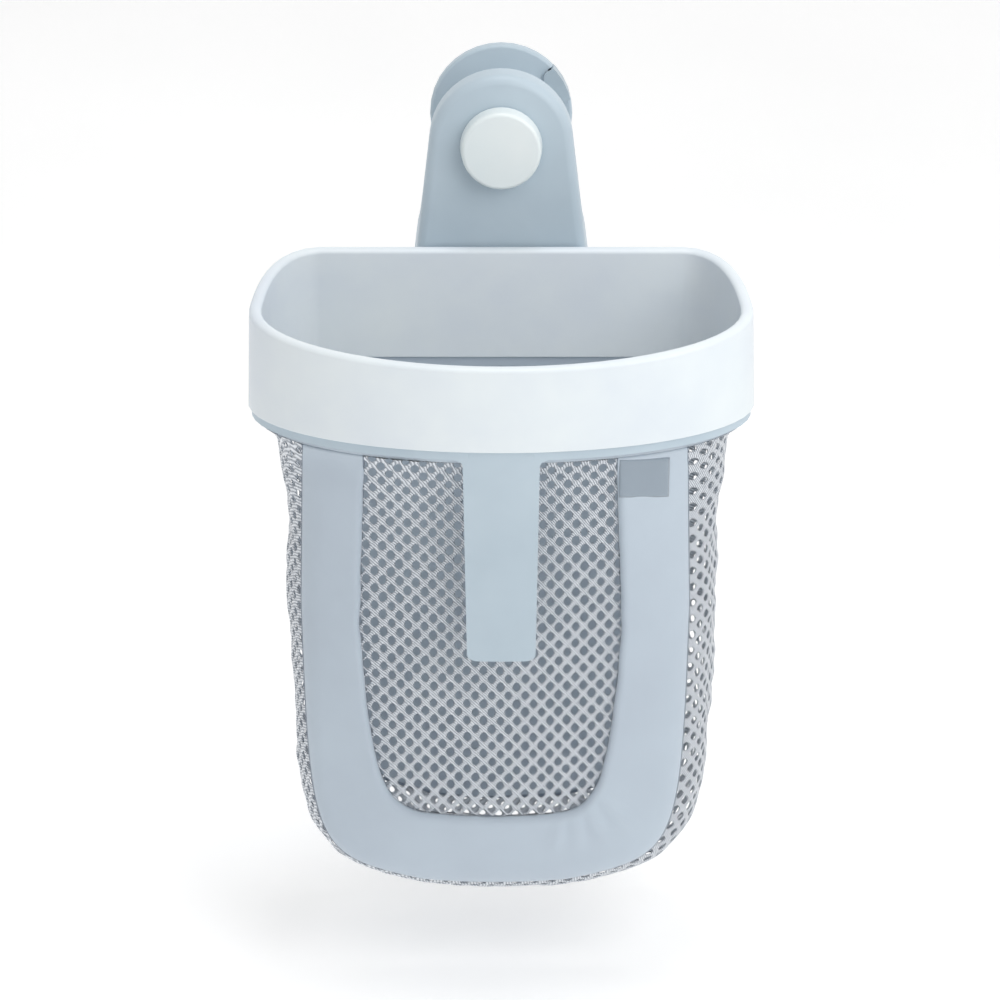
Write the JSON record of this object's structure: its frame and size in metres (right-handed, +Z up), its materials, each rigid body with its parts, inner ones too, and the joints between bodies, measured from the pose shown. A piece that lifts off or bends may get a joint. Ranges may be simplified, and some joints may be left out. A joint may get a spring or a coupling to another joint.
{
  "type": "bath toy organizer",
  "caption": "Wall-held bath toy scoop: D-shaped rim with a mesh and cloth bag and a front grip strip, on a tapered hanger arm with a screw-lock suction mount.",
  "frame": {"origin": "centre of the suction cup's face on the wall", "axes": "+Y into the wall, +Z up, +X to the viewer's right when facing the wall"},
  "size_m": [0.2298, 0.188, 0.3758],
  "materials": {
    "white_plastic": "smooth satin moulded plastic",
    "grey_plastic": "smooth satin moulded plastic",
    "knob_plastic": "smooth satin moulded plastic",
    "cup_rubber": "soft glossy elastomer",
    "foot_rubber": "matte elastomer",
    "border_fabric": "plain woven polyester",
    "mesh_fabric": "open knitted polyester net",
    "tape_fabric": "woven binding tape",
    "label_fabric": "woven satin label, blank"
  },
  "bodies": {
    "hanger": {"suction_cup": "cup_rubber", "threaded_stud": "grey_plastic", "pressure_dish": "grey_plastic", "hanger_arm": "grey_plastic", "wall_bumper_left": "foot_rubber", "wall_bumper_right": "foot_rubber"},
    "washer": {"clamp_washer": "grey_plastic"},
    "knob": {"lock_knob": "knob_plastic"},
    "scoop": {"scoop_rim": "white_plastic", "handle_ring": "grey_plastic", "bag_top_hem": "border_fabric", "bag_border": "border_fabric", "bag_window": "mesh_fabric", "bag_gusset": "mesh_fabric", "bag_back_panel": "border_fabric", "window_seam_tape": "tape_fabric", "front_seam_tape": "tape_fabric", "back_seam_tape": "tape_fabric", "side_label": "label_fabric"}
  },
  "joints": [
    {"name": "washer_slide", "type": "slide", "parent": "hanger", "child": "washer", "axis": [0, -1, 0], "range_m": [0, 0.0061]},
    {"name": "knob_turn", "type": "hinge", "parent": "washer", "child": "knob", "pos_m": [0, -0.062, 0], "axis": [0, -1, 0], "range_deg": [0, 720]},
    {"name": "scoop_lift", "type": "slide", "parent": "hanger", "child": "scoop", "axis": [0, 0, 1], "range_m": [0, 0.018]}
  ],
  "couplings": [
    {"joint": "washer_slide", "follows": "knob_turn", "m_per_rad": 0.00047746}
  ]
}
